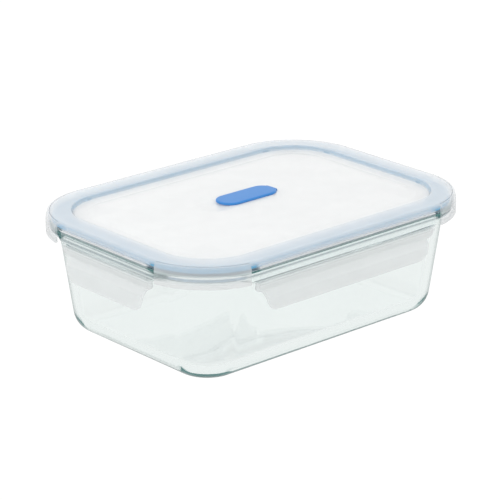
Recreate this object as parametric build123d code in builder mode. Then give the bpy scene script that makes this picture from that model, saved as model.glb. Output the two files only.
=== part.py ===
from build123d import *
import math
import os

# A rectangular glass food container: glass tub, lid shell with a gasket in its channel,
# four hinged clips closed over the rim, and a vent flap in the lid panel. Sizes in mm.
# X runs along the long side, Y along the short side, Z up. Front is -Y and left is -X.
# The origin is the middle of the underside of the glass base.

os.makedirs("parts", exist_ok=True)

L = 230.0            # overall length, over the closed short-side clips
W = 168.4            # overall width, over the closed long-side clips
H = 76.3             # overall height, base underside to the top of the lid ring
R = 47.0             # outer corner radius of the lid

# glass tub
Z_RIM = 69.7         # top of the glass rim
Z_LEDGE = 62.6       # underside of the locking ledges
Z_FLANGE = 65.6      # underside of the rim between the ledges
RIM_IN = 2.6         # rim outer face, inset from the lid outline
RIM_ROUND = 1.5      # rounding of the rim's top edges
BODY_BOT = 18.8      # wall inset at the base, before rounding
BODY_TOP = 10.0      # wall inset at the height of the ledges
R_BASE = 22.6        # plan corner radius of the wall at the base
WALL = 4.3           # glass wall
BASE = 5.0           # glass base
ROUND_OUT = 13.4     # outer rounding where the wall meets the base
ROUND_IN = 10.0      # the same inside
LEDGE_X = 77.0       # half length of the ledge on a long side
LEDGE_Y = 46.0       # half length of the ledge on a short side
LEDGE_ROUND = 7.0    # plan rounding of the ledge ends
WALL_LAP = 1.0       # wall runs up into the rim
LEDGE_LAP = 0.5      # ledges run up into the rim
DRAFT = math.degrees(math.atan((BODY_BOT - BODY_TOP) / Z_LEDGE))

# lid
Z_SKIRT = 63.0       # lower edge of the corner skirts
Z_PANEL = 73.7       # top of the sunk panel
PANEL = 1.8          # panel thickness
Z_UNDER = Z_PANEL - PANEL
Z_ROOF = 74.6        # ceiling of the gasket channel
PANEL_IN = 16.0      # inset of the panel edge, inside the ring wall
PLATEAU_IN = 25.0    # inset of the raised middle of the panel
PLATEAU_UP = 0.7
PLATEAU_TAPER = 40
Z_PLATEAU = Z_PANEL + PLATEAU_UP
NOTCH_X = 76.0       # skirts stop here on the long sides
NOTCH_Y = 45.0       # and here on the short sides
NOTCH_IN = 4.2       # depth of the skirt openings
CUT_Z = 60.0         # cutters that pass through the ring start here
CUT_H = 20.0

# clips
CLIP_X = 69.5        # half length of a long-side clip
CLIP_Y = 38.5        # half length of a short-side clip
CLIP_GAP = 0.25      # end clearance of a clip in its cradle
HINGE_IN = 0.95      # hinge axis, inset and height
HINGE_Z = 71.4
BEAD = 0.95          # hinge bead radius
PLAY = 0.05          # running clearance round a bead
FILM = 1.5           # clip wall thickness
LIP_LONG = 44.4      # lower edge of the finger lip, long sides
LIP_SHORT = 42.4     # and short sides
OUTLINE_OFF = 2.0    # outline cutter starts this far outside the lid outline
OUTLINE_DEPTH = 12.0

# vent flap
VENT_X, VENT_Y = 2.2, 8.8                      # middle of the flap
VENT_L, VENT_W = 43.0, 17.0
VENT_T = 1.5
PIN_R = 1.25                                   # knuckle radius
PIN_X = VENT_X + VENT_L / 2 - PIN_R            # hinge axis of the flap
PIN_Z = Z_PLATEAU + PLAY + VENT_T - PIN_R
PIN_HALF = 4.2                                 # half length of the knuckle
PIN_GAP = 0.15                                 # end clearance of the knuckle
HOLE_X = VENT_X - 10.0                         # steam hole
HOLE_R = 2.7
DISH_R = 80.0                                  # sphere that cuts the finger dish
DISH_DEEP = 0.8
DISH_OFF = 4.0                                 # dish centre beyond the flap's left end

# Sections across the rim. Columns: inset from the lid outline, height.
CROWN = (4.2, H)               # outer edge of the ring's flat top
SHOULDER = (1.1, 75.5)
CROWN_INNER = (15.0, H)
SHOULDER_R = 0.9               # rounding of crown and shoulder
FOOT_CORNERS = [(16.9, 65.4), (15.8, 65.4), (1.7, Z_SKIRT), (0.0, Z_SKIRT)]
RING = [
    CROWN, CROWN_INNER, (16.3, Z_PANEL), (16.9, Z_UNDER), (16.9, 65.4), (15.8, 65.4),
    (15.6, Z_ROOF), (1.9, Z_ROOF), (1.7, Z_SKIRT), (0.0, Z_SKIRT), (0.0, 70.2), SHOULDER,
]
EAVE = [
    (6.0, H), CROWN, SHOULDER, (0.35, 74.0), (0.6, HINGE_Z + 1.42),
    (HINGE_IN, HINGE_Z + 1.17), (1.27, HINGE_Z + 0.98), (HINGE_IN, HINGE_Z),
    (2.25, HINGE_Z - 0.6), (3.35, HINGE_Z + 0.2), (3.5, 73.2), (4.1, Z_ROOF), (6.0, Z_ROOF),
]
SEAL_OUT = 3.6       # outer face of the gasket
SEAL_TOP = 73.0      # upper face, below the ceiling of the channel
SEAL_FOOT = 69.75    # underside of the gasket's two pads
SEAL = [
    (SEAL_OUT, 71.6), (SEAL_OUT + 0.35, 72.7), (SEAL_OUT + 0.8, SEAL_TOP), (15.5, SEAL_TOP),
    (15.5, 66.2), (15.0, 66.2), (14.9, 69.0), (14.0, SEAL_FOOT), (11.2, SEAL_FOOT),
    (10.4, 71.2), (7.0, 71.2), (6.2, SEAL_FOOT), (SEAL_OUT + 0.3, SEAL_FOOT),
]

# Outward direction (x, y) of each side: front, rear, left, right
SIDES = ((0, -1), (0, 1), (-1, 0), (1, 0))
FRONT, LEFT = SIDES[0], SIDES[2]


def near(sketch, points, tol=0.02):
    """Vertices of a sketch whose X and Y match one of the given points."""
    return [v for v in sketch.vertices()
            if any(math.hypot(v.X - p[0], v.Y - p[1]) < tol for p in points)]


def edges_at(part, z, tol=0.02):
    """Edges that lie flat at one height."""
    return [e for e in part.edges()
            if abs(e.bounding_box().min.Z - z) < tol and abs(e.bounding_box().max.Z - z) < tol]


def side_plane(side, half):
    """Section plane at one end of a side: local x runs inward from the lid outline,
    local y up, and the normal along the side towards its other end."""
    out_x, out_y = side
    along_x, along_y = -out_y, out_x
    return Plane(
        origin=(out_x * L / 2 - along_x * half, out_y * W / 2 - along_y * half, 0),
        x_dir=(-out_x, -out_y, 0),
        z_dir=(along_x, along_y, 0),
    )


def lid_outline():
    """Closed path round the lid outline at Z = 0, from the middle of the right side."""
    with BuildLine() as outline:
        run = Line((L / 2, 0), (L / 2, W / 2 - R))
        for end in ((-(L / 2 - R), W / 2), (-L / 2, -(W / 2 - R)), (L / 2 - R, -W / 2), (L / 2, 0)):
            bend = JernArc(start=run @ 1, tangent=run % 1, radius=R, arc_size=90)
            run = Line(bend @ 1, end)
    return outline.wires()[0]


RIM_PLANE = Plane(origin=(L / 2, 0, 0), x_dir=(-1, 0, 0), z_dir=(0, 1, 0))


def save(part, name):
    part.label = name
    export_step(part, f"parts/{name}.step")


def make_glass_tub():
    with BuildPart() as tub:
        with BuildSketch(Plane.XY):
            RectangleRounded(L - 2 * BODY_BOT, W - 2 * BODY_BOT, R_BASE)
        extrude(amount=Z_FLANGE + WALL_LAP, taper=-DRAFT)
        fillet(edges_at(tub.part, 0.0), ROUND_OUT)
        # rim
        with BuildSketch(Plane.XY.offset(Z_FLANGE)):
            RectangleRounded(L - 2 * RIM_IN, W - 2 * RIM_IN, R - RIM_IN)
        extrude(amount=Z_RIM - Z_FLANGE)
        # locking ledges under the rim, one on each side
        ledge_corners = [(sx * LEDGE_X, sy * W / 2) for sx in (-1, 1) for sy in (-1, 1)]
        ledge_corners += [(sx * L / 2, sy * LEDGE_Y) for sx in (-1, 1) for sy in (-1, 1)]
        with BuildSketch(Plane.XY.offset(Z_LEDGE)):
            RectangleRounded(L - 2 * RIM_IN, W - 2 * RIM_IN, R - RIM_IN)
            with BuildSketch(Plane.XY.offset(Z_LEDGE), mode=Mode.PRIVATE) as sides:
                Rectangle(2 * LEDGE_X, W)
                Rectangle(L, 2 * LEDGE_Y)
                fillet(near(sides.sketch, ledge_corners), LEDGE_ROUND)
            add(sides.sketch, mode=Mode.INTERSECT)
        extrude(amount=Z_FLANGE - Z_LEDGE + LEDGE_LAP)
        # the inside
        inner_in = BODY_BOT + WALL
        with BuildSketch(Plane.XY.offset(BASE)):
            RectangleRounded(L - 2 * inner_in, W - 2 * inner_in, R_BASE - WALL)
        extrude(amount=Z_RIM - BASE + 0.001, taper=-DRAFT, mode=Mode.SUBTRACT)
        fillet(edges_at(tub.part, BASE), ROUND_IN)
        fillet(edges_at(tub.part, Z_RIM, 0.03), RIM_ROUND)
    return tub.part


def make_lid_shell():
    outline = lid_outline()
    with BuildPart() as lid:
        # ring and skirt: one section carried round the rim
        with BuildSketch(RIM_PLANE) as ring:
            with BuildLine():
                Polyline(*RING, close=True)
            make_face()
            fillet(near(ring.sketch, [CROWN_INNER]), 0.7)
            fillet(near(ring.sketch, [CROWN]), SHOULDER_R)
            fillet(near(ring.sketch, [SHOULDER]), SHOULDER_R)
            fillet(near(ring.sketch, FOOT_CORNERS), 0.5)
        sweep(path=outline)
        # openings in the skirt for the four clips
        for out_x, out_y in SIDES:
            with BuildSketch(Plane.XY.offset(CUT_Z)):
                with Locations((out_x * L / 2, out_y * W / 2)):
                    if out_y:
                        Rectangle(2 * NOTCH_X, 2 * NOTCH_IN)
                    else:
                        Rectangle(2 * NOTCH_IN, 2 * NOTCH_Y)
            extrude(amount=CUT_H, mode=Mode.SUBTRACT)
        # eaves over the clips: the ring wall comes down to the hinge line
        for side in SIDES:
            half = NOTCH_X if side[1] else NOTCH_Y
            with BuildSketch(side_plane(side, half)) as eave:
                with BuildLine():
                    Polyline(*EAVE, close=True)
                make_face()
                fillet(near(eave.sketch, [CROWN, SHOULDER]), SHOULDER_R)
            extrude(amount=2 * half)
        # trim the eave ends to the corner curve
        with BuildSketch(Plane.XY.offset(CUT_Z)):
            RectangleRounded(L, W, R)
        extrude(amount=CUT_H, mode=Mode.INTERSECT)
        # cradles for the hinge beads
        for side in SIDES:
            half = (CLIP_X if side[1] else CLIP_Y) + CLIP_GAP
            with BuildSketch(side_plane(side, half)):
                with Locations((HINGE_IN, HINGE_Z)):
                    Circle(BEAD + PLAY)
            extrude(amount=2 * half, mode=Mode.SUBTRACT)
        # panel with its raised middle
        with BuildSketch(Plane.XY.offset(Z_UNDER)):
            RectangleRounded(L - 2 * PANEL_IN, W - 2 * PANEL_IN, R - PANEL_IN)
        extrude(amount=PANEL)
        with BuildSketch(Plane.XY.offset(Z_PANEL)):
            RectangleRounded(L - 2 * PLATEAU_IN, W - 2 * PLATEAU_IN, R - PLATEAU_IN + 2)
        extrude(amount=PLATEAU_UP, taper=PLATEAU_TAPER)
        # finger dish at the left end of the flap
        dish_x = VENT_X - VENT_L / 2 - DISH_OFF
        with Locations((dish_x, VENT_Y, Z_PLATEAU + DISH_R - DISH_DEEP)):
            Sphere(DISH_R, mode=Mode.SUBTRACT)
        # steam hole, with a collar under the panel
        with BuildSketch(Plane.XY.offset(Z_UNDER - 1.0)):
            with Locations((HOLE_X, VENT_Y)):
                Circle(HOLE_R + 1.6)
        extrude(amount=1.2)
        with BuildSketch(Plane.XY.offset(Z_UNDER - 2.0)):
            with Locations((HOLE_X, VENT_Y)):
                Circle(HOLE_R)
        extrude(amount=8.0, mode=Mode.SUBTRACT)
        # cradle for the flap's knuckle
        cradle_half = PIN_HALF + PIN_GAP
        with BuildSketch(Plane.XZ.offset(-(VENT_Y + cradle_half))):
            with Locations((PIN_X, PIN_Z)):
                Circle(PIN_R + PLAY)
        extrude(amount=2 * cradle_half, mode=Mode.SUBTRACT)
    return lid.part


def make_seal_ring():
    outline = lid_outline()
    with BuildPart() as seal:
        with BuildSketch(RIM_PLANE) as section:
            with BuildLine():
                Polyline(*SEAL, close=True)
            make_face()
            fillet(near(section.sketch, [SEAL[-1], SEAL[0]]), 0.4)
        sweep(path=outline)
    return seal.part


def make_clip(side, half, lip, face_plane, depth, shoulder_in, tab_in, tab_round, rib=False):
    """One clip: bead, wall, lock step, crease and finger lip along a side, cut to its
    outline, which is drawn on face_plane and reaches inward by the signed depth.
    shoulder_in and tab_in are the outline's insets from each end of the clip."""
    # columns: inset from the lid outline, height
    section_points = [
        (0.0, HINGE_Z), (0.0, 63.0), (2.9, 57.6), (2.9, 56.6), (0.0, 53.0), (0.0, lip + 1.8),
        (0.9, lip), (2.2, lip), (1.8, lip + 2.6), (1.8, 52.2), (4.7, 56.0), (5.2, 58.0),
        (5.2, 62.35), (FILM, 62.35), (FILM, HINGE_Z),
    ]
    bends = [(2.9, 57.6), (2.9, 56.6), (0.0, 53.0), (0.0, 63.0), (4.7, 56.0), (1.8, 52.2),
             (5.2, 58.0)]
    edges = [(5.2, 62.35), (FILM, 62.35), (0.9, lip), (2.2, lip), (0.0, lip + 1.8)]
    # columns: place along the side, height; down one end, then up the other
    down = [(-half, 80), (-half, 57.2), (-half + shoulder_in, 55.4), (-half + tab_in, lip - 0.1)]
    up = [(-x, z) for x, z in reversed(down)]

    with BuildPart() as clip:
        with BuildSketch(side_plane(side, half)) as section:
            with BuildLine():
                Polyline(*section_points, close=True)
            make_face()
            fillet(near(section.sketch, bends), 0.45)
            fillet(near(section.sketch, edges), 0.35)
            with Locations((HINGE_IN, HINGE_Z)):
                Circle(BEAD)
        extrude(amount=2 * half)
        with BuildSketch(face_plane) as face:
            with BuildLine():
                Polyline(*down, *up, close=True)
            make_face()
            fillet(near(face.sketch, [down[3], up[0]]), tab_round)
            fillet(near(face.sketch, [down[2], up[1]]), 1.5)
        extrude(amount=depth, mode=Mode.INTERSECT)
        if rib:
            # short rib on the inner face of the front wall
            with Locations((2.0, -W / 2 + FILM + 0.25, 69.25)):
                Box(1.2, 0.7, 2.5)
    return clip.part


def mirrored(part, plane):
    with BuildPart() as copy:
        add(mirror(part, about=plane, mode=Mode.PRIVATE))
    return copy.part


def make_vent_flap():
    with BuildPart() as flap:
        with BuildSketch(Plane.XY.offset(Z_PLATEAU + PLAY)):
            with Locations((VENT_X, VENT_Y)):
                SlotOverall(VENT_L, VENT_W)
        extrude(amount=VENT_T)
        # round the right-hand tail about the hinge axis
        tail_l = 3.0
        with BuildSketch(Plane.XZ.offset(-(VENT_Y + VENT_W / 2 + 1))):
            with Locations((PIN_X + tail_l / 2, PIN_Z + 0.3)):
                Rectangle(tail_l, 4.0)
            with Locations((PIN_X, PIN_Z)):
                Circle(PIN_R, mode=Mode.SUBTRACT)
        extrude(amount=VENT_W + 2, mode=Mode.SUBTRACT)
        # knuckle
        with BuildSketch(Plane.XZ.offset(-(VENT_Y + PIN_HALF))):
            with Locations((PIN_X, PIN_Z)):
                Circle(PIN_R)
        extrude(amount=2 * PIN_HALF)
        # sealing plug
        with BuildSketch(Plane.XY.offset(Z_PLATEAU + 0.2)):
            with Locations((HOLE_X, VENT_Y)):
                Circle(HOLE_R - 0.1)
        extrude(amount=-(PANEL + PLATEAU_UP + 0.9), taper=10)
    return flap.part


save(make_glass_tub(), "glass_tub")
save(make_lid_shell(), "lid_shell")
save(make_seal_ring(), "seal_ring")

# The normal of Plane.XZ points to -Y, so the front outline is cut with a negative depth.
front_clip = make_clip(
    FRONT, CLIP_X, LIP_LONG, Plane.XZ.offset(W / 2 + OUTLINE_OFF), -OUTLINE_DEPTH,
    shoulder_in=4.4, tab_in=7.4, tab_round=11.0, rib=True)
left_clip = make_clip(
    LEFT, CLIP_Y, LIP_SHORT, Plane.YZ.offset(-L / 2 - OUTLINE_OFF), OUTLINE_DEPTH,
    shoulder_in=3.4, tab_in=6.2, tab_round=10.0)
save(front_clip, "front_clip")
save(mirrored(front_clip, Plane.XZ), "rear_clip")
save(left_clip, "left_clip")
save(mirrored(left_clip, Plane.YZ), "right_clip")

save(make_vent_flap(), "vent_flap")
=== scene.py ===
"""Glass food container with a frosted clip-on lid.

The tub stands on z = 0, centred on the origin, with its long side along X. The lid
carries a blue gasket, a blue vent flap and four clips: front (-Y), rear (+Y),
left (-X) and right (+X). Shapes are given in mm and built in metres. An "inset" is
a distance inwards from the lid outline.
"""
import bpy, bmesh, math
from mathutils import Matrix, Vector


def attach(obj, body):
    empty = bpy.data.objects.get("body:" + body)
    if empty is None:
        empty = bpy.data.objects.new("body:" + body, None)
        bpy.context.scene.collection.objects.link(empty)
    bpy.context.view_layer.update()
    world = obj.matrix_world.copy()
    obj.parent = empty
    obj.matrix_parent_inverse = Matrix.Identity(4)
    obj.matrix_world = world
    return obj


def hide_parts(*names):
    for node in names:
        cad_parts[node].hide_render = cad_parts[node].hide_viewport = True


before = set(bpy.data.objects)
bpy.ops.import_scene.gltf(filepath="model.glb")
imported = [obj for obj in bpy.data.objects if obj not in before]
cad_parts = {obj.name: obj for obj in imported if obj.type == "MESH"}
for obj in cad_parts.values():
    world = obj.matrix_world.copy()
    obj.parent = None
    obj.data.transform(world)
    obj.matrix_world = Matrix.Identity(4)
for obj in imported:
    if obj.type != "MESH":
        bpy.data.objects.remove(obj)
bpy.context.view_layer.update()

# ------------------------------------------------------------ shared sizes, mm
LENGTH, WIDTH = 230.0, 168.4
HALF_X, HALF_Y = LENGTH / 2, WIDTH / 2
LID_TOP_Z = 76.3
LID_CORNER = 47.0        # corner radius of the lid outline
BODY_CORNER = 41.4       # corner radius of the glass body, carried out to the lid outline
RIM_TOP_Z = 69.7
HINGE_Z = 71.4           # axis of the clip hinges
HINGE_INSET = 0.95
PANEL_TOP_Z, PANEL_UNDER_Z = 74.4, 71.9

# steps along the long sides, the short sides and each corner
STEPS_X, STEPS_Y, STEPS_CORNER = 68, 36, 26

# vent: flap, hinge knuckle and steam hole share one centre line
VENT_Y = 8.8
KNUCKLE_X, KNUCKLE_Z, KNUCKLE_R = 22.45, 74.7, 1.25
HOLE_X = -7.8


# ------------------------------------------------------------ mesh helpers
def mesh_object(name, verts, faces, weld=1e-4, attrs=None):
    """A smooth, welded mesh from mm points; attrs holds {name: a value for each vertex}."""
    attrs = attrs or {}
    bm = bmesh.new()
    layers = {key: bm.verts.layers.float.new(key) for key in attrs}
    made = [bm.verts.new((x / 1000, y / 1000, z / 1000)) for x, y, z in verts]
    for key, layer in layers.items():
        for vert, value in zip(made, attrs[key]):
            vert[layer] = value
    for face in faces:
        bm.faces.new([made[i] for i in face])
    bmesh.ops.remove_doubles(bm, verts=bm.verts, dist=weld / 1000)
    bmesh.ops.dissolve_degenerate(bm, edges=bm.edges, dist=weld / 1000)
    bmesh.ops.recalc_face_normals(bm, faces=bm.faces)
    mesh = bpy.data.meshes.new(name)
    bm.to_mesh(mesh)
    bm.free()
    for polygon in mesh.polygons:
        polygon.use_smooth = True
    return link_object(name, mesh)


def link_object(name, data):
    obj = bpy.data.objects.new(name, data)
    bpy.context.scene.collection.objects.link(obj)
    return obj


def sharp_by_angle(obj, degrees):
    """Marks the steeper edges sharp, so flat faces beside a rounded edge stay flat."""
    bm = bmesh.new()
    bm.from_mesh(obj.data)
    for edge in bm.edges:
        if len(edge.link_faces) == 2 and edge.calc_face_angle(0) > math.radians(degrees):
            edge.smooth = False
    bm.to_mesh(obj.data)
    bm.free()


def quads(a, b, size, closed=False):
    """Faces between two sections of equal size whose first vertices are a and b."""
    return [(a + j, b + j, b + (j + 1) % size, a + (j + 1) % size)
            for j in range(size if closed else size - 1)]


def lap_quads(total, size, closed=False):
    """Faces over a full lap of sections, the last joined to the first."""
    faces = []
    for a in range(0, total, size):
        faces += quads(a, (a + size) % total, size, closed)
    return faces


def lap_caps(start, end, size):
    """Two faces: through the first and through the last point of every section."""
    return [range(start, end, size), range(end - 1, start - 1, -size)]


def turned(centre, axis, profile, steps, base=0):
    """A capped solid of revolution about "y" or "z".

    profile: (offset along the axis, radius); base: index of its first vertex.
    """
    cx, cy, cz = centre
    verts, faces = [], []
    for k in range(steps):
        angle = 2 * math.pi * k / steps
        for offset, radius in profile:
            u, v = radius * math.cos(angle), radius * math.sin(angle)
            if axis == "z":
                verts.append((cx + u, cy + v, cz + offset))
            else:
                verts.append((cx + u, cy + offset, cz + v))
    size = len(profile)
    for k in range(steps):
        a, b = base + k * size, base + (k + 1) % steps * size
        for j in range(size - 1):
            faces.append((a + j, a + j + 1, b + j + 1, b + j))
    return verts, faces + lap_caps(base, base + steps * size, size)


# ------------------------------------------------------------ outline helpers
QUADRANTS = [(1, 1), (-1, 1), (-1, -1), (1, -1)]


def side_stations(q):
    """Stations on the straight that leads to corner q."""
    steps = STEPS_Y if q % 2 == 0 else STEPS_X
    return [("side", q, k / steps) for k in range(steps)]


def stations():
    """One lap: ("side", quadrant, fraction) and ("corner", quadrant, degrees)."""
    lap = []
    for q in range(4):
        lap += side_stations(q)
        lap += [("corner", q, round(90.0 * k / STEPS_CORNER, 4)) for k in range(STEPS_CORNER)]
    return lap


def place(station, inset, radius, z):
    """The point of a station on the outline with this inset and corner radius."""
    kind, q, t = station
    radius = max(radius, 0.0)
    cx, cy = HALF_X - inset - radius, HALF_Y - inset - radius

    def corner_point(quadrant, degrees):
        sign_x, sign_y = QUADRANTS[quadrant]
        turn = math.radians(degrees)
        return sign_x * cx + radius * math.cos(turn), sign_y * cy + radius * math.sin(turn)

    if kind == "corner":
        return (*corner_point(q, t + 90 * q), z)
    x0, y0 = corner_point(q - 1, 90 * q)
    x1, y1 = corner_point(q, 90 * q)
    return (x0 + (x1 - x0) * t, y0 + (y1 - y0) * t, z)


def arc(cx, cy, radius, start, end, steps):
    points = []
    for k in range(steps + 1):
        angle = math.radians(start + (end - start) * k / steps)
        points.append((cx + radius * math.cos(angle), cy + radius * math.sin(angle)))
    return points


def rounded(rows, steps=5):
    """The line through rows of (x, y, corner radius), with its corners rounded."""
    out = []
    for k, (px, py, radius) in enumerate(rows):
        if radius <= 0:
            out.append((px, py))
            continue
        before, after = rows[k - 1], rows[(k + 1) % len(rows)]
        u = Vector((before[0] - px, before[1] - py))
        v = Vector((after[0] - px, after[1] - py))
        len_u, len_v = u.length, v.length
        u /= len_u
        v /= len_v
        half = math.acos(max(-1, min(1, u.dot(v)))) / 2
        if abs(half - math.pi / 2) < 0.02:     # nearly straight
            out.append((px, py))
            continue
        reach = min(radius / math.tan(half), len_u * 0.48, len_v * 0.48)
        fitted = reach * math.tan(half)
        corner = Vector((px, py))
        centre = corner + (u + v).normalized() * (fitted / math.sin(half))
        start, end = corner + u * reach, corner + v * reach
        a0 = math.atan2(start.y - centre.y, start.x - centre.x)
        a1 = math.atan2(end.y - centre.y, end.x - centre.x)
        while a1 - a0 > math.pi:
            a1 -= 2 * math.pi
        while a1 - a0 < -math.pi:
            a1 += 2 * math.pi
        for j in range(steps + 1):
            t = a0 + (a1 - a0) * j / steps
            out.append((centre.x + fitted * math.cos(t), centre.y + fitted * math.sin(t)))
    return out


def clamp01(t):
    return max(0.0, min(1.0, t))


def smooth01(t):
    t = clamp01(t)
    return t * t * (3 - 2 * t)


# ------------------------------------------------------------ glass tub
DRAFT = math.atan(8.8 / 62.6)
DRAFT_SLOPE = math.tan(DRAFT)
OUTER_FOOT = (18.8, 0.0)      # where each drafted wall would meet its flat: inset, z
INNER_FOOT = (23.1, 5.0)
RIM_INSET = 2.6
LEDGE_Z = 65.6                # underside of the rim at the corners
LEDGE_DROP = 3.0              # it hangs this much lower along the sides


def wall_inset(foot, z):
    return foot[0] - (z - foot[1]) * DRAFT_SLOPE


def wall_fillet(foot, radius, steps=12):
    """Arc that joins the flat at a foot to its drafted wall."""
    centre_z = foot[1] + radius
    wall_z = centre_z - radius * math.sin(DRAFT)
    centre = wall_inset(foot, wall_z) + radius * math.cos(DRAFT)
    points = []
    for k in range(steps + 1):
        angle = math.radians(-90) + (math.radians(-90) + DRAFT) * k / steps
        points.append((centre + radius * math.cos(angle), centre_z + radius * math.sin(angle)))
    return points


def tub_section(ledge_z):
    """(inset, z, corner radius at the lid outline) from under the base to the inner floor."""
    body = [(inset, 0.0) for inset in (BODY_CORNER, 36.0, 32.0)]
    body += wall_fillet(OUTER_FOOT, 13.4)
    body += [(wall_inset(OUTER_FOOT, z), z) for z in (16, 24, 34, 44, 52, 57, 60.0)]
    rim = rounded([(wall_inset(OUTER_FOOT, 60.0), 60.0, 0),
                   (wall_inset(OUTER_FOOT, ledge_z), ledge_z, 1.1),
                   (RIM_INSET, ledge_z, 0.8), (RIM_INSET, 66.9, 0), (RIM_INSET, 67.3, 0),
                   (RIM_INSET, 67.7, 0), (RIM_INSET, 67.95, 0), (RIM_INSET, RIM_TOP_Z, 1.6),
                   (13.4, RIM_TOP_Z, 1.5), (wall_inset(INNER_FOOT, 62.0), 62.0, 0)], 6)
    inside = [(wall_inset(INNER_FOOT, z), z) for z in (60, 54, 46, 36, 27, 20)]
    inside += reversed(wall_fillet(INNER_FOOT, 10.0))
    inside += [(inset, INNER_FOOT[1]) for inset in (33.5, 37.0, BODY_CORNER)]

    section = [(inset, z, BODY_CORNER) for inset, z in body]
    for inset, z in rim[1:-1]:
        # the corner radius passes from the lid's to the body's
        span = 7.4 if z < RIM_TOP_Z - 0.01 else 10.0
        blend = clamp01((inset - RIM_INSET) / span)
        section.append((inset, z, LID_CORNER + (BODY_CORNER - LID_CORNER) * blend))
    return section + [(inset, z, BODY_CORNER) for inset, z in inside]


def make_tub():
    verts = []
    attrs = {"rim": [], "short": [], "corner": []}
    for station in stations():
        x, y, _ = place(station, RIM_INSET, LID_CORNER - RIM_INSET, 0)
        x, y = abs(x), abs(y)
        on_long = (77.0 - x) / 6.0 if y > 60 else 0.0
        on_short = (46.0 - y) / 6.0 if x > 90 else 0.0
        section = tub_section(LEDGE_Z - LEDGE_DROP * smooth01(max(on_long, on_short)))
        for inset, z, radius in section:
            verts.append(place(station, inset, radius - inset, z))
            # masks for the painted lines on the rim's outer face
            attrs["rim"].append(1.0 if inset < 3.9 and z > 61.5 else 0.0)
            attrs["short"].append(1.0 if x > 90 else 0.0)
            attrs["corner"].append(1.0 if x > 78.5 and y > 47.5 else 0.0)
    total, size = len(verts), len(section)
    faces = lap_quads(total, size) + lap_caps(0, total, size)
    return mesh_object("tub_glass", verts, faces, attrs=attrs)


# ------------------------------------------------------------ lid
# Sections are (inset, z), or (inset, z, corner radius) inside rounded().
SKIRT_END_X, SKIRT_END_Y = 76.0, 45.0     # each corner skirt starts and stops here
GROOVE = (2.35, 75.66)                    # bottom of the groove round the skirts

# from the edge of the panel over the raised ring
LID_TOP = [(LID_CORNER, PANEL_TOP_Z), (42.0, 74.4), (36.0, 74.4), (32.0, 74.4),
           (30.5, 74.38), (29.0, 74.31), (27.6, 74.19), (26.4, 74.04), (25.4, 73.89),
           (24.7, 73.78), (24.3, 73.72), (23.9, 73.7), (21.0, 73.7), (18.6, 73.7)]
LID_TOP += rounded([(18.6, 73.7, 0), (16.3, 73.7, 0.8), (15.0, LID_TOP_Z, 0.75),
                    (5.4, LID_TOP_Z, 0)])[1:-1]
LID_TOP += [(12.0, LID_TOP_Z), (9.0, LID_TOP_Z), (6.2, LID_TOP_Z), (5.0, LID_TOP_Z - 0.01)]

# down the outside and back up at the corners
LID_SKIRT = rounded([(4.6, LID_TOP_Z - 0.02, 0), (3.6, LID_TOP_Z - 0.1, 0.9), (2.62, 75.94, 0),
                     (*GROOVE, 0), (2.1, 75.8, 0), (1.0, 75.5, 0.9), (0.25, 72.8, 2.0),
                     (0.0, 70.2, 2.0), (0.0, 66.0, 0), (0.0, 63.0, 0.5), (1.7, 63.0, 0.5),
                     (1.7, 70.0, 2.0), (1.9, 74.6, 0.6), (4.6, 74.6, 0)])

# the short edge over the clips, hollowed round the hinge
HINGE_HOLLOW = arc(HINGE_INSET, HINGE_Z, 1.0, 70, -22, 8)
LID_EAVE = rounded([(4.6, LID_TOP_Z - 0.02, 0), (3.6, LID_TOP_Z - 0.1, 0.9), (1.0, 75.5, 0.9),
                    (0.35, 74.0, 0.8), (0.6, HINGE_Z + 1.42, 0.15),
                    (HINGE_INSET, HINGE_Z + 1.17, 0.1), (*HINGE_HOLLOW[0], 0)])[:-1]
LID_EAVE += HINGE_HOLLOW
LID_EAVE += rounded([(*HINGE_HOLLOW[-1], 0), (2.25, HINGE_Z - 0.6, 0.25),
                     (3.35, HINGE_Z + 0.2, 0.3), (3.5, 73.2, 0.4), (4.0, 74.6, 0.3),
                     (4.6, 74.6, 0)], 4)[1:]

# under the ring, round the hanging inner wall and in to the panel
LID_UNDER = rounded([(4.6, 74.6, 0), (15.6, 74.6, 0.4), (15.8, 65.4, 0.4), (16.9, 65.4, 0.4),
                     (16.9, 71.9, 1.2), (19.5, 71.9, 0)])[1:]
LID_UNDER += [(inset, PANEL_UNDER_Z) for inset in (24.0, 29.0, 36.0, LID_CORNER)]

# shallow spherical dish in the panel
DISH_X, DISH_DEPTH, DISH_R, DISH_EDGE = -23.3, 0.8, 80.0, 0.25


def lid_stations():
    """(station, skirted) round one lap; a skirt's end has both sections at one place."""
    end_x = math.degrees(math.asin((SKIRT_END_X - (HALF_X - LID_CORNER)) / LID_CORNER))
    end_y = math.degrees(math.asin((SKIRT_END_Y - (HALF_Y - LID_CORNER)) / LID_CORNER))
    lap = []
    for q in range(4):
        low, high = (end_y, 90 - end_x) if q % 2 == 0 else (end_x, 90 - end_y)
        angles = [90.0 * k / STEPS_CORNER for k in range(STEPS_CORNER)]
        angles = [a for a in angles if abs(a - low) > 0.8 and abs(a - high) > 0.8]
        corner = [(a, False) for a in angles if a < low]
        corner += [(low, False), (low, True)]
        corner += [(a, True) for a in angles if low < a < high]
        corner += [(high, True), (high, False)]
        corner += [(a, False) for a in angles if a > high]
        lap += [(station, False) for station in side_stations(q)]
        lap += [(("corner", q, a), skirted) for a, skirted in corner]
    return lap


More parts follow.
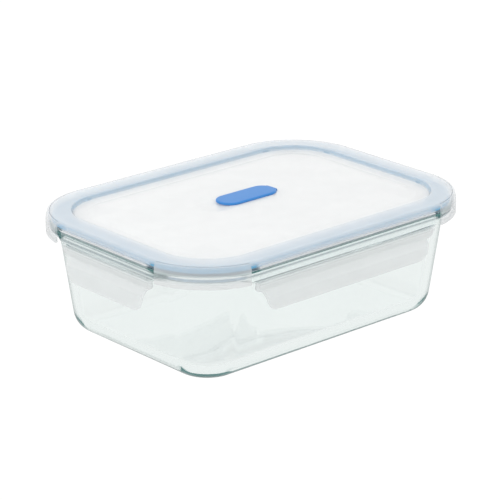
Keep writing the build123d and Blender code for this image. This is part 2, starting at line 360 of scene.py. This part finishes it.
def panel_grid(z_flat, dished, base):
    """The middle of the panel as a grid."""
    half_x, half_y = HALF_X - LID_CORNER, HALF_Y - LID_CORNER
    verts, faces = [], []
    for iy in range(STEPS_Y + 1):
        for ix in range(STEPS_X + 1):
            x = -half_x + 2 * half_x * ix / STEPS_X
            y = -half_y + 2 * half_y * iy / STEPS_Y
            z = z_flat
            if dished:
                away = math.hypot(x - DISH_X, y - VENT_Y)
                sphere = math.sqrt(max(0.0, DISH_R ** 2 - away * away))
                dip = DISH_DEPTH - (DISH_R - sphere)
                z -= dip * smooth01(dip / DISH_EDGE)
            verts.append((x, y, z))
    row = STEPS_X + 1
    for iy in range(STEPS_Y):
        for ix in range(STEPS_X):
            a = base + iy * row + ix
            faces.append((a, a + 1, a + row + 1, a + row))
    return verts, faces


def make_lid():
    verts, faces, columns = [], [], []
    attrs = {"eave": [], "groove": [], "notch": []}
    for station, skirted in lid_stations():
        middle = LID_SKIRT if skirted else LID_EAVE
        columns.append((len(verts), len(middle), skirted))
        x, y, _ = place(station, 0.0, LID_CORNER, 0.0)
        x, y = abs(x), abs(y)
        # the open stretch between a clip and a skirt
        notch = not skirted and ((y > 80 and x > 69.6) or (x > 111 and y > 38.6))
        for inset, z in LID_TOP + middle + LID_UNDER:
            verts.append(place(station, inset, LID_CORNER - inset, z))
            attrs["eave"].append(0.0 if skirted else 1.0)
            attrs["groove"].append(1.0 if (inset, z) == GROOVE else 0.0)
            attrs["notch"].append(1.0 if notch else 0.0)
    top = len(LID_TOP)
    for (a, size_a, skirted_a), (b, size_b, skirted_b) in zip(columns, columns[1:] + columns[:1]):
        if skirted_a == skirted_b:
            faces += quads(a, b, top + size_a + len(LID_UNDER))
        else:
            # a step: the two sections lie in one plane, so one face closes it
            a, b = a + top, b + top
            faces.append([*range(a, a + size_a), *reversed(range(b, b + size_b))])
    for z, dished in ((PANEL_TOP_Z, True), (PANEL_UNDER_Z, False)):
        more_verts, more_faces = panel_grid(z, dished, len(verts))
        verts += more_verts
        faces += more_faces
    for values in attrs.values():
        values += [0.0] * (len(verts) - len(values))
    lid = mesh_object("lid_frosted", verts, faces, weld=2e-3, attrs=attrs)
    sharp_by_angle(lid, 50)
    return lid


def cut_lid(lid):
    """Cuts the steam hole and the knuckle's cradle."""
    cutters = []
    for name, centre, axis, radius, half_length in (
            ("cut_hole", (HOLE_X, VENT_Y, 73.0), "z", 2.7, 4.0),
            ("cut_cradle", (KNUCKLE_X, VENT_Y, KNUCKLE_Z), "y", 1.3, 4.35)):
        profile = [(-half_length, radius), (half_length, radius)]
        cutters.append(mesh_object(name, *turned(centre, axis, profile, 40)))
    for cutter in cutters:
        cut = lid.modifiers.new("cut", "BOOLEAN")
        cut.operation = "DIFFERENCE"
        cut.object = cutter
        cut.solver = "EXACT"
    depsgraph = bpy.context.evaluated_depsgraph_get()
    mesh = bpy.data.meshes.new_from_object(lid.evaluated_get(depsgraph), depsgraph=depsgraph)
    lid.modifiers.clear()
    lid.data = mesh
    for cutter in cutters:
        bpy.data.objects.remove(cutter)


# ------------------------------------------------------------ gasket
# closed section: inset, z, corner radius
SEAL_SECTION = [(3.6, 71.6, 0.5), (3.95, 72.65, 0.4), (4.4, 72.95, 0.3), (15.45, 72.95, 0.3),
                (15.45, 66.2, 0.15), (15.0, 66.2, 0.15), (14.9, 69.0, 0.6), (14.0, 69.78, 0.5),
                (11.2, 69.78, 0.5), (10.4, 71.2, 0.4), (7.0, 71.2, 0.4), (6.2, 69.78, 0.5),
                (3.9, 69.78, 0.4)]


def make_seal():
    section = rounded(SEAL_SECTION, 3)
    verts = [place(station, inset, LID_CORNER - inset, z)
             for station in stations() for inset, z in section]
    faces = lap_quads(len(verts), len(section), closed=True)
    seal = mesh_object("gasket_blue", verts, faces)
    sharp_by_angle(seal, 50)
    return seal


# ------------------------------------------------------------ clips
LIP_R = 0.85                  # roundness of a clip's lower edge
# rolled-over ends: distance from the end, shrinkage of the section
CLIP_END_ROLL = ((0.0, 0.34), (0.05, 0.2), (0.14, 0.1), (0.26, 0.03))


def inset_at(line, z):
    """Inset at height z on a line that falls in z."""
    for (i0, z0), (i1, z1) in zip(line, line[1:]):
        if z1 <= z <= z0:
            return i0 + (i1 - i0) * ((z0 - z) / (z0 - z1) if z0 > z1 else 0)
    return line[-1][0]


def stop_at(line, low):
    """The line with every point below height low gathered at that height."""
    return [(inset_at(line, low) if low > z else inset, max(z, low)) for inset, z in line]


def shrunk(loop, amount):
    """The closed loop with each point moved inwards along its normal."""
    out = []
    for k, (inset, z) in enumerate(loop):
        before, after = loop[k - 1], loop[(k + 1) % len(loop)]
        tx, tz = after[0] - before[0], after[1] - before[1]
        length = math.hypot(tx, tz) or 1.0
        out.append((inset - tz / length * amount, z + tx / length * amount))
    return out


def clip_columns(half, lip_z, corner, slope):
    """(place along the clip, lowest z, shrinkage) from end to end."""
    edge = rounded([(-half, 57.2, 0), (-half + 4.4 * slope, 55.6, 1.6),
                    (-half + 7.4 * slope, lip_z, corner), (0, lip_z, 0)], 14)
    walk = []
    for a, b in zip(edge, edge[1:]):
        pitch = 0.7 if b[0] < -half + 20 else 3.0
        steps = max(1, int(math.hypot(b[0] - a[0], b[1] - a[1]) / pitch))
        for j in range(steps):
            t = j / steps
            walk.append((a[0] + (b[0] - a[0]) * j / steps, a[1] + (b[1] - a[1]) * j / steps))
    walk.append(edge[-1])
    end_x, end_z = walk[0]
    columns = [(end_x + step, end_z, shrink) for step, shrink in CLIP_END_ROLL]
    columns += [(x, z, 0.0) for x, z in walk if x > end_x + 0.3]
    return columns + [(-x, z, shrink) for x, z, shrink in reversed(columns[:-1])]


def make_clip(name, inward, half, lip_z, corner, slope):
    """inward: unit vector (x, y) from the clip's side to the middle of the lid."""
    outer = rounded([(0.0, HINGE_Z, 0), (0.0, 68.0, 0), (0.0, 63.0, 1.6), (2.9, 57.4, 1.3),
                     (2.9, 56.6, 1.3), (0.0, 52.8, 2.2), (0.0, 49.0, 0), (0.0, lip_z + 0.2, 0),
                     (0.0, lip_z, 0)], 6)
    inner = rounded([(1.5, HINGE_Z - 0.775, 0), (1.5, 67.0, 0), (1.5, 62.35, 0.5),
                     (5.2, 62.35, 0.5), (5.2, 58.0, 1.0), (4.6, 56.0, 1.0), (1.85, 52.0, 1.6),
                     (1.75, 49.0, 0), (1.75, lip_z, 0)])
    barrel = arc(HINGE_INSET, HINGE_Z, 0.95, -54.6, 180, 18)[1:-1]
    in_x, in_y = inward
    verts = []
    for x, low_z, shrink in clip_columns(half, lip_z, corner, slope):
        low = low_z + LIP_R
        outside, inside = stop_at(outer, low), stop_at(inner, low)
        middle = (outside[-1][0] + inside[-1][0]) / 2
        half_wall = (inside[-1][0] - outside[-1][0]) / 2
        lip = []
        for k in range(1, 8):
            angle = math.pi * k / 8
            lip.append((middle - half_wall * math.cos(angle), low - LIP_R * math.sin(angle)))
        loop = outside + lip + inside[::-1] + barrel
        if shrink > 0:
            loop = shrunk(loop, shrink)
        for inset, z in loop:
            verts.append((-in_x * HALF_X + in_y * x + in_x * inset,
                          -in_y * HALF_Y - in_x * x + in_y * inset, z))
    size = len(loop)
    last = len(verts) - size
    faces = []
    for a in range(0, last, size):
        faces += quads(a, a + size, size, closed=True)
    faces += [range(size), range(len(verts) - 1, last - 1, -1)]
    clip = mesh_object(name, verts, faces, weld=1e-3)
    sharp_by_angle(clip, 55)
    return clip


# ------------------------------------------------------------ vent flap
VENT_X, VENT_HALF_LENGTH, VENT_R = 2.2, 21.5, 8.5
VENT_BASE_Z, VENT_TOP_Z = 74.45, 75.95
# inset from the flap's outline, drop below its top
VENT_UPPER = [(8.4, 0.0), (6.0, 0.0), (3.0, 0.02), (2.0, 0.03), (1.4, 0.05), (1.05, 0.07),
              (0.75, 0.10), (0.4, 0.2), (0.15, 0.4), (0.0, 0.75)]
# inset from the flap's outline, rise above its base
VENT_LOWER = [(0.0, 0.3), (0.1, 0.08), (0.35, 0.0), (3.0, 0.0), (8.4, 0.0)]
# z, radius
VENT_PLUG = [(74.5, 2.6), (74.0, 2.55), (71.75, 2.2), (71.5, 2.05), (71.35, 1.7)]
# offset along the hinge, radius
VENT_KNUCKLE = [(-4.2, 1.1), (-4.05, KNUCKLE_R), (4.05, KNUCKLE_R), (4.2, 1.1)]


def make_vent():
    profile = [(inset, VENT_TOP_Z - drop) for inset, drop in VENT_UPPER]
    profile += [(inset, VENT_BASE_Z + rise) for inset, rise in VENT_LOWER]
    steps = 40
    verts = []
    for sign, start in ((1, -90), (-1, 90)):
        for k in range(steps + 1):
            angle = math.radians(start + 180 * k / steps)
            for inset, z in profile:
                radius = VENT_R - inset
                x = VENT_X + sign * (VENT_HALF_LENGTH - VENT_R) + radius * math.cos(angle)
                y = VENT_Y + radius * math.sin(angle)
                # the tail is rounded about its hinge line
                past = x - KNUCKLE_X
                if past > 0 and z > KNUCKLE_Z:
                    part = min(past, KNUCKLE_R) / KNUCKLE_R
                    z = min(z, KNUCKLE_Z + KNUCKLE_R * max(0.0, 1 - part ** 5) ** 0.2)
                verts.append((x, y, z))
    total, size = len(verts), len(profile)
    faces = lap_quads(total, size) + lap_caps(0, total, size)
    for centre, axis, outline in (
            ((HOLE_X, VENT_Y, 0.0), "z", VENT_PLUG),
            ((KNUCKLE_X, VENT_Y, KNUCKLE_Z), "y", VENT_KNUCKLE)):
        more_verts, more_faces = turned(centre, axis, outline, 32, base=len(verts))
        verts += more_verts
        faces += more_faces
    vent = mesh_object("vent_blue", verts, faces)
    sharp_by_angle(vent, 45)
    return vent


# ------------------------------------------------------------ node helpers
def start_tree(owner):
    """The emptied node tree of a material or world."""
    owner.use_nodes = True
    owner.node_tree.nodes.clear()
    return owner.node_tree


def node(tree, kind, inputs=None, **settings):
    """A shader node. An input may be a value, a socket, or a node for its first output."""
    made = tree.nodes.new("ShaderNode" + kind)
    for key, value in settings.items():
        setattr(made, key, value)
    for key, value in (inputs or {}).items():
        if isinstance(value, bpy.types.Node):
            value = value.outputs[0]
        if isinstance(value, bpy.types.NodeSocket):
            tree.links.new(value, made.inputs[key])
        else:
            made.inputs[key].default_value = value
    return made


def calc(tree, operation, *values, clamp=False):
    return node(tree, "Math", dict(enumerate(values)), operation=operation, use_clamp=clamp)


def mix(tree, data_type, factor, a, b, blend="MIX"):
    made = node(tree, "Mix", {"Factor": factor, "A": a, "B": b},
                data_type=data_type, blend_type=blend)
    return made.outputs["Result"]


def mix_shader(tree, factor, a, b):
    return node(tree, "MixShader", {"Fac": factor, 1: a, 2: b})


def map_range(tree, value, source=(0.0, 1.0), target=(0.0, 1.0), curve="LINEAR"):
    return node(tree, "MapRange",
                {"Value": value, "From Min": source[0], "From Max": source[1],
                 "To Min": target[0], "To Max": target[1]}, interpolation_type=curve)


def attribute(tree, name):
    return node(tree, "Attribute", attribute_name=name).outputs["Fac"]


def object_coords(tree):
    return node(tree, "TexCoord").outputs["Object"]


def noise(tree, coords, scale, detail=2.0):
    return node(tree, "TexNoise", {"Vector": coords, "Scale": scale, "Detail": detail})


def bump(tree, height, strength, distance):
    return node(tree, "Bump", {"Height": height, "Strength": strength, "Distance": distance})


def grazing(tree, low, high):
    """Rises from 0 to 1 as the surface turns edge-on."""
    facing = node(tree, "LayerWeight", {"Blend": 0.5}).outputs["Facing"]
    return map_range(tree, facing, (low, high), curve="SMOOTHSTEP")


def by_height(tree, xyz, stops):
    """A value that follows object height; stops are (height in mm, value)."""
    z0, z1 = stops[0][0] / 1000, stops[-1][0] / 1000
    ramp = node(tree, "ValToRGB", {"Fac": map_range(tree, xyz.outputs["Z"], (z0, z1))})
    elements = ramp.color_ramp.elements
    while len(elements) < len(stops):
        elements.new(0.5)
    for element, (z, _) in zip(elements, stops):
        element.position = (z / 1000 - z0) / (z1 - z0)
    for element, (_, value) in zip(ramp.color_ramp.elements, stops):
        element.color = (value, value, value, 1)
    return ramp


def scatter(tree, color, normal, through):
    """Diffuse light, part of it passed through; returns the diffuse node and the mix."""
    inputs = {"Color": color, "Normal": normal}
    diffuse = node(tree, "BsdfDiffuse", inputs)
    translucent = node(tree, "BsdfTranslucent", inputs)
    return diffuse, mix_shader(tree, through, diffuse, translucent)


def gloss_coat(tree, body, ior, roughness, normal):
    """Gloss on the outer face only: the inside of a thin wall doesn't mirror."""
    fresnel = node(tree, "Fresnel", {"IOR": ior})
    backfacing = node(tree, "NewGeometry").outputs["Backfacing"]
    front = calc(tree, "MAXIMUM", calc(tree, "SUBTRACT", 1.0, backfacing), 0.0)
    gloss = node(tree, "BsdfGlossy", {"Roughness": roughness, "Normal": normal})
    return mix_shader(tree, calc(tree, "MULTIPLY", fresnel, front), body, gloss)


# ------------------------------------------------------------ glass
PAINTED_EDGE_SHADE = (0.03, 0.10, 0.09, 1)         # painted shade on glancing edges, in the glass's green
RIM_PAINTED_SHADE = (0.05, 0.10, 0.13, 1)          # painted shade lines along the rim's sides
RIM_PAINTED_BLUE = (0.01, 0.10, 0.22, 1)          # and at its corners, a painted navy reflection of the gasket
PAINTED_GLOW_GREEN = (0.085, 0.235, 0.24, 1)      # painted glow, low in the wall
PAINTED_GLOW_BLUE = (0.03, 0.085, 0.24, 1)        # and high in it

# strength of the rim's painted lines of shade and reflection: height in mm, value
PAINTED_RIM_SHORT = [(61.9, 0.30), (62.6, 0.15), (63.2, 0.0), (63.8, 0.05), (64.6, 0.40), (65.3, 0.78),
             (66.0, 0.88), (66.5, 0.55), (66.9, 0.0), (67.3, 0.10), (67.8, 0.80), (68.2, 0.80),
             (68.6, 0.20), (69.0, 0.0), (69.4, 0.1)]
PAINTED_RIM_LONG = [(61.9, 0.05), (62.8, 0.18), (63.3, 0.18), (63.8, 0.0), (66.1, 0.0), (66.7, 0.30),
            (67.3, 0.80), (67.8, 0.75), (68.2, 0.30), (68.6, 0.0), (69.4, 0.0)]
PAINTED_RIM_CORNER = [(61.9, 0.10), (62.4, 0.25), (62.9, 0.0), (66.2, 0.0), (66.7, 0.85), (67.9, 0.90),
              (68.5, 0.15), (68.9, 0.0), (69.4, 0.0)]


def glass_material():
    material = bpy.data.materials.new("clear_pressed_glass")
    tree = start_tree(material)
    coords = object_coords(tree)
    xyz = node(tree, "SeparateXYZ", {0: coords})
    light_path = node(tree, "LightPath").outputs
    camera_ray = light_path["Is Camera Ray"]

    # painted edge shade: the glass's own green laid on darker where the surface turns edge-on,
    # counted once on the way in
    edge = calc(tree, "MULTIPLY", grazing(tree, 0.60, 0.95), camera_ray)
    edge_color = mix(tree, "RGBA", edge, (0.99, 0.998, 0.995, 1), PAINTED_EDGE_SHADE)

    # painted lines along the outer face of the rim: shade and the gasket's reflection, laid on as
    # dark bands
    sides = mix(tree, "FLOAT", attribute(tree, "short"),
                by_height(tree, xyz, PAINTED_RIM_LONG), by_height(tree, xyz, PAINTED_RIM_SHORT))
    painted_rim_lines = mix(tree, "FLOAT", attribute(tree, "corner"), sides,
                by_height(tree, xyz, PAINTED_RIM_CORNER))
    painted_rim_lines = calc(tree, "MULTIPLY", painted_rim_lines, attribute(tree, "rim"))
    painted_rim_lines = calc(tree, "MULTIPLY", painted_rim_lines, camera_ray)
    painted_line_color = mix(tree, "RGBA", attribute(tree, "corner"), RIM_PAINTED_SHADE, RIM_PAINTED_BLUE)

    ripple = noise(tree, coords, scale=22.0)
    body = node(tree, "BsdfPrincipled", {
        "Base Color": mix(tree, "RGBA", painted_rim_lines, edge_color, painted_line_color),
        "Transmission Weight": 1.0, "IOR": 1.5, "Roughness": 0.0,
        "Normal": bump(tree, ripple, strength=0.08, distance=0.001)})
    shadow = node(tree, "BsdfTransparent", {"Color": (0.96, 0.985, 0.975, 1)})
    clear = mix_shader(tree, light_path["Is Shadow Ray"], body, shadow)

    # painted glow: a ray still bouncing after many steps ends on an emitted bottle green, in
    # place of light trapped in the wall
    trapped = calc(tree, "GREATER_THAN", light_path["Ray Depth"], 9.5)
    high = by_height(tree, xyz, [(55.0, 0.0), (66.0, 1.0)])
    painted_deep_glow = node(tree, "Emission", {"Color": mix(tree, "RGBA", high, PAINTED_GLOW_GREEN, PAINTED_GLOW_BLUE)})
    absorption = node(tree, "VolumeAbsorption",
                      {"Color": (0.12, 0.55, 0.47, 1), "Density": 8.0})
    node(tree, "OutputMaterial",
         {"Surface": mix_shader(tree, trapped, clear, painted_deep_glow), "Volume": absorption})
    return material


# ------------------------------------------------------------ moulded plastic
PLASTIC_CLEAR = (0.985, 0.99, 0.995, 1)   # tint of the light that passes straight through
GROOVE_SHADE = (0.22, 0.25, 0.30, 1)
PANEL_HAZE = 0.90

# share of light that scatters: height in mm, value
HAZE_SKIRT = [(62.0, 0.60), (65.4, 0.54), (66.2, 0.24), (69.6, 0.20), (70.1, 0.42), (70.7, 0.44),
              (71.3, 0.32), (74.9, 0.37), (75.5, 0.42), (75.85, 0.56), (76.24, 0.70)]
HAZE_EAVE = [(69.0, 0.30), (71.6, 0.32), (72.1, 0.70), (73.0, 0.70), (73.5, 0.34), (74.9, 0.37),
             (75.5, 0.44), (76.0, 0.60), (76.24, 0.70)]
HAZE_NOTCH = [(69.0, 0.04), (73.8, 0.06), (74.8, 0.37), (75.5, 0.44), (76.0, 0.60),
              (76.24, 0.70)]
# the dense band from 72.0 to 72.6 mm whitens the hinge bead in place of its highlight: a painted
# highlight line
HAZE_CLIP = [(42.0, 0.50), (61.2, 0.48), (62.2, 0.20), (63.2, 0.05), (70.0, 0.05), (70.7, 0.16),
             (71.7, 0.20), (72.0, 0.75), (72.6, 0.75)]
# shade low on the outside of the skirts
SKIRT_SHADE = [(62.5, 0.13), (66.0, 0.11), (74.0, 0.04), (75.8, 0.0)]


def clip_haze(tree, xyz):
    return by_height(tree, xyz, HAZE_CLIP)


def lid_haze(tree, xyz):
    """Clear-ish skirt and ring walls, a denser ring top, and a milky panel."""
    edge = mix(tree, "FLOAT", attribute(tree, "eave"),
               by_height(tree, xyz, HAZE_SKIRT), by_height(tree, xyz, HAZE_EAVE))
    edge = mix(tree, "FLOAT", attribute(tree, "notch"), edge, by_height(tree, xyz, HAZE_NOTCH))
    # distance outwards from the rectangle through the corner centres
    squares = []
    for axis, half in (("X", HALF_X), ("Y", HALF_Y)):
        away = calc(tree, "ABSOLUTE", xyz.outputs[axis])
        past = calc(tree, "SUBTRACT", away, (half - LID_CORNER) / 1000)
        squares.append(calc(tree, "POWER", calc(tree, "MAXIMUM", past, 0.0), 2.0))
    distance = calc(tree, "SQRT", calc(tree, "ADD", *squares))
    panel = map_range(tree, distance, ((LID_CORNER - 15.4) / 1000, (LID_CORNER - 17.4) / 1000),
                      curve="SMOOTHSTEP")
    return mix(tree, "FLOAT", panel, edge, PANEL_HAZE)


def shade_groove(tree, coords, shaders):
    """Darkens the groove and the low skirt; shaders: (node, its own colour)."""
    xyz = node(tree, "SeparateXYZ", {0: coords})
    skirt = calc(tree, "SUBTRACT", 1.0, attribute(tree, "eave"))
    low = calc(tree, "MULTIPLY", skirt, grazing(tree, 0.25, 0.8))
    low = calc(tree, "MULTIPLY", low, by_height(tree, xyz, SKIRT_SHADE))
    shade = calc(tree, "ADD", attribute(tree, "groove"), low, clamp=True)
    for shader, color in shaders:
        tree.links.new(mix(tree, "RGBA", shade, color, GROOVE_SHADE), shader.inputs["Color"])


def plastic_material(name, haze, roughness, color, through, groove=False):
    """Part of the light scatters (haze), the rest passes straight through."""
    material = bpy.data.materials.new(name)
    tree = start_tree(material)
    coords = object_coords(tree)
    grain = noise(tree, coords, scale=900.0, detail=3.0)
    normal = bump(tree, grain, strength=0.10, distance=0.0002)
    # slow cloudiness of the moulded plastic
    cloud = map_range(tree, noise(tree, coords, scale=35.0), (0.3, 0.7), (0.96, 1.04))
    diffuse, hazy = scatter(tree, color, normal, through)
    clear = node(tree, "BsdfTransparent", {"Color": PLASTIC_CLEAR})
    if groove:
        shade_groove(tree, coords, ((diffuse, color), (clear, PLASTIC_CLEAR)))
    amount = haze(tree, node(tree, "SeparateXYZ", {0: coords}))
    amount = calc(tree, "MULTIPLY", amount, cloud, clamp=True)
    body = mix_shader(tree, amount, clear, hazy)
    surface = gloss_coat(tree, body, ior=1.45, roughness=roughness, normal=normal)
    node(tree, "OutputMaterial", {"Surface": surface})
    return material


# ------------------------------------------------------------ silicone
# darkening of the gasket's lower part: height in mm, value
SEAL_SHADE = [(69.6, 0.18), (71.2, 0.22), (71.7, 1.0), (74.0, 1.0)]


def silicone_material(name, color, through, glow=0.0, shade=None):
    material = bpy.data.materials.new(name)
    tree = start_tree(material)
    coords = object_coords(tree)
    normal = bump(tree, noise(tree, coords, scale=1500.0), strength=0.2, distance=0.0001)
    red, green, blue, _ = color
    lighter = (red * 1.15, green * 1.1, blue * 1.06, 1)
    tint = mix(tree, "RGBA", noise(tree, coords, scale=60.0), color, lighter)
    if shade:
        xyz = node(tree, "SeparateXYZ", {0: coords})
        tint = mix(tree, "RGBA", 1.0, tint, by_height(tree, xyz, shade), blend="MULTIPLY")
    _, body = scatter(tree, tint, normal, through)
    surface = gloss_coat(tree, body, ior=1.41, roughness=0.4, normal=normal)
    if glow > 0:
        # painted glow: emission that lifts the gasket where it lies in shade
        painted_fill_glow = node(tree, "Emission", {"Color": tint, "Strength": glow})
        surface = node(tree, "AddShader", {0: surface, 1: painted_fill_glow})
    node(tree, "OutputMaterial", {"Surface": surface})
    return material


# ------------------------------------------------------------ assembly
glass = glass_material()
lid_plastic = plastic_material("frosted_lid_plastic", lid_haze, roughness=0.22,
                               color=(0.97, 0.973, 0.973, 1), through=0.35, groove=True)
clip_plastic = plastic_material("clip_plastic", clip_haze, roughness=0.12,
                                color=(0.99, 0.992, 0.992, 1), through=0.5)
# the gasket's glow is painted light that brightens it where it is shaded
seal_silicone = silicone_material("gasket_silicone", (0.045, 0.335, 0.56, 1), through=0.4,
                                  glow=0.28, shade=SEAL_SHADE)
vent_silicone = silicone_material("vent_silicone", (0.045, 0.255, 0.68, 1), through=0.1)


def assign(obj, material):
    obj.data.materials.clear()
    obj.data.materials.append(material)


def put(obj, material, body, replaced):
    assign(obj, material)
    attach(obj, body)
    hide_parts(replaced)


put(make_tub(), glass, "tub", "glass_tub")
lid = make_lid()
cut_lid(lid)
put(lid, lid_plastic, "lid", "lid_shell")
put(make_seal(), seal_silicone, "lid", "seal_ring")
put(make_vent(), vent_silicone, "vent", "vent_flap")

# half length, z of the lower edge, radius of its corners, spread of its sloping ends
LONG_CLIP = dict(half=69.5, lip_z=44.4, corner=11.0, slope=1.0)
SHORT_CLIP = dict(half=38.5, lip_z=42.4, corner=10.0, slope=0.8)
for side, inward, sizes in (("front", (0, 1), LONG_CLIP), ("rear", (0, -1), LONG_CLIP),
                            ("left", (1, 0), SHORT_CLIP), ("right", (-1, 0), SHORT_CLIP)):
    put(make_clip(f"clip_{side}_pp", inward, **sizes), clip_plastic,
        f"clip_{side}", f"{side}_clip")


# ------------------------------------------------------------ floor
def make_floor(size, z):
    s = size / 2
    mesh = bpy.data.meshes.new("floor")
    mesh.from_pydata([(-s, -s, z), (s, -s, z), (s, s, z), (-s, s, z)], [], [(0, 1, 2, 3)])
    floor = link_object("floor", mesh)
    material = bpy.data.materials.new("floor_white")
    tree = start_tree(material)
    # a little brighter to the camera than to the product
    camera_ray = node(tree, "LightPath").outputs["Is Camera Ray"]
    strength = map_range(tree, camera_ray, target=(0.93, 1.05))
    glow = node(tree, "Emission", {"Color": (1, 1, 1, 1), "Strength": strength})
    node(tree, "OutputMaterial", {"Surface": glow})
    assign(floor, material)


# ------------------------------------------------------------ world
SKY_LOW, SKY_TOP = 0.96, 1.01              # brightness at the horizon and above
SKY_BACK = 0.87                            # dimming behind the camera
SKY_SEEN = (1.08, 1.08, 1.08, 1)           # what the camera itself sees
BEHIND_CAMERA = (-0.668, -0.744, 0.0)


def make_world():
    """A white room, a little dimmer towards the horizon and darkest behind the camera."""
    world = bpy.data.worlds.new("studio")
    bpy.context.scene.world = world
    tree = start_tree(world)
    direction = node(tree, "TexCoord").outputs["Generated"]

    def along(vector):
        dot = node(tree, "VectorMath", {0: direction, 1: vector}, operation="DOT_PRODUCT")
        return dot.outputs["Value"]

    sky = node(tree, "ValToRGB", {"Fac": along((0, 0, 1))})
    low, high = sky.color_ramp.elements
    low.position = 0.0
    low.color = (SKY_LOW, SKY_LOW, SKY_LOW * 1.01, 1)
    high.position = 0.5
    high.color = (SKY_TOP, SKY_TOP, SKY_TOP, 1)
    dimming = map_range(tree, along(BEHIND_CAMERA), (0.45, 0.95), (1.0, SKY_BACK),
                        curve="SMOOTHSTEP")
    room = node(tree, "VectorMath", {0: sky, "Scale": dimming}, operation="SCALE")
    camera_ray = node(tree, "LightPath").outputs["Is Camera Ray"]
    color = mix(tree, "RGBA", camera_ray, room.outputs[0], SKY_SEEN)
    background = node(tree, "Background", {"Color": color, "Strength": 1.0})
    node(tree, "OutputWorld", {"Surface": background})


# ------------------------------------------------------------ light and camera, metres
def aim(obj, direction):
    obj.rotation_mode = "QUATERNION"
    obj.rotation_quaternion = direction.to_track_quat("-Z", "Y")


def make_light():
    light = bpy.data.lights.new("top_box", "AREA")
    light.shape = "RECTANGLE"
    light.size = light.size_y = 0.9
    light.energy = 3.8
    obj = link_object("top_box", light)
    obj.location = (-0.5, 0.5, 1.3)
    aim(obj, Vector((0, 0, 0)) - Vector((-0.5, 0.5, 1.3)))


def make_camera():
    azimuth = math.radians(-41.896)        # from -Y, positive towards +X
    elevation = math.radians(20.118)
    distance = 1.3967
    target = Vector((0, 0, 0.04))
    camera = bpy.data.cameras.new("cam")
    obj = link_object("cam", camera)
    back = Vector((math.sin(azimuth) * math.cos(elevation),
                   -math.cos(azimuth) * math.cos(elevation), math.sin(elevation)))
    obj.location = target + back * distance
    aim(obj, -back)
    camera.sensor_width = 36.0             # mm, as is the lens
    camera.lens = 167.148
    camera.shift_x, camera.shift_y = -0.00658, 0.00964
    camera.clip_start, camera.clip_end = 0.05, 50
    bpy.context.scene.camera = obj


make_floor(size=30.0, z=-0.0002)
make_world()
make_light()
make_camera()

scene = bpy.context.scene
scene.view_settings.view_transform = "Standard"
# many thin clear walls lie behind one another
scene.cycles.max_bounces = 20
scene.cycles.transmission_bounces = 20
scene.cycles.diffuse_bounces = 8
scene.cycles.glossy_bounces = 20
scene.cycles.transparent_max_bounces = 32
